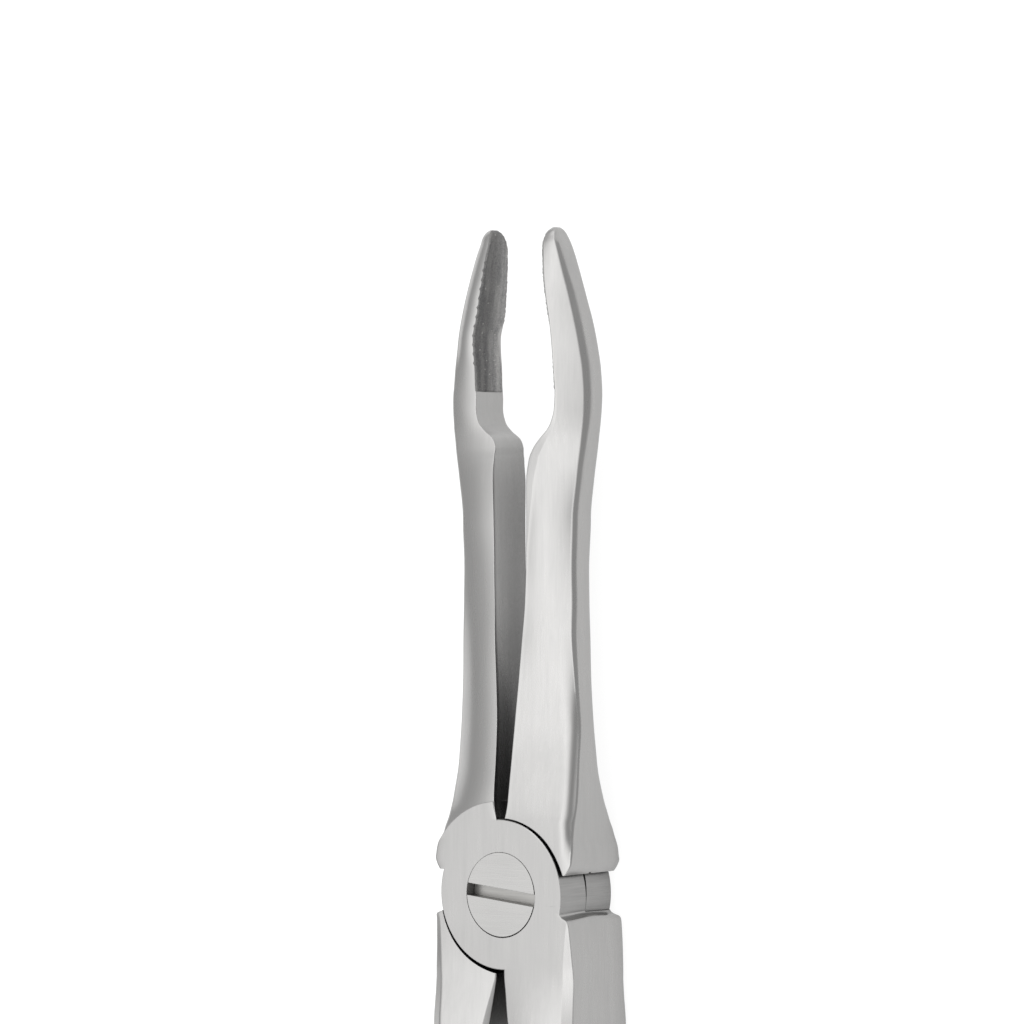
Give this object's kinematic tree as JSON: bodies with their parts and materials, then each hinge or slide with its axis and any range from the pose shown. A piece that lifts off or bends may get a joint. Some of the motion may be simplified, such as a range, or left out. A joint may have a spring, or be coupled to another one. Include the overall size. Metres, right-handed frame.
{
  "type": "dental extraction forceps",
  "caption": "Straight root extraction forceps with long slim beaks, slotted screw joint and bowed handles; the beaks open and close on the joint.",
  "frame": {"origin": "on the pivot axis, at the back face of the joint", "axes": "+Z along the pivot axis, up to the screw head; +Y from the pivot to the beak tips; the beaks open along X"},
  "size_m": [0.039, 0.1832, 0.0114],
  "materials": {
    "forged_steel": "fine satin, brushed lengthwise",
    "screw_steel": "satin",
    "grip_abrasive": "matt, gritty"
  },
  "bodies": {
    "rear_forging": {"rear_half": "forged_steel", "joint_screw": "screw_steel", "rear_beak_grip": "grip_abrasive"},
    "front_forging": {"front_half": "forged_steel", "front_beak_grip": "grip_abrasive"}
  },
  "joints": [
    {"name": "pivot", "type": "hinge", "parent": "rear_forging", "child": "front_forging", "pos_m": [0, 0, 0.0045], "axis": [0, 0, 1], "range_deg": [-5, 26]}
  ]
}
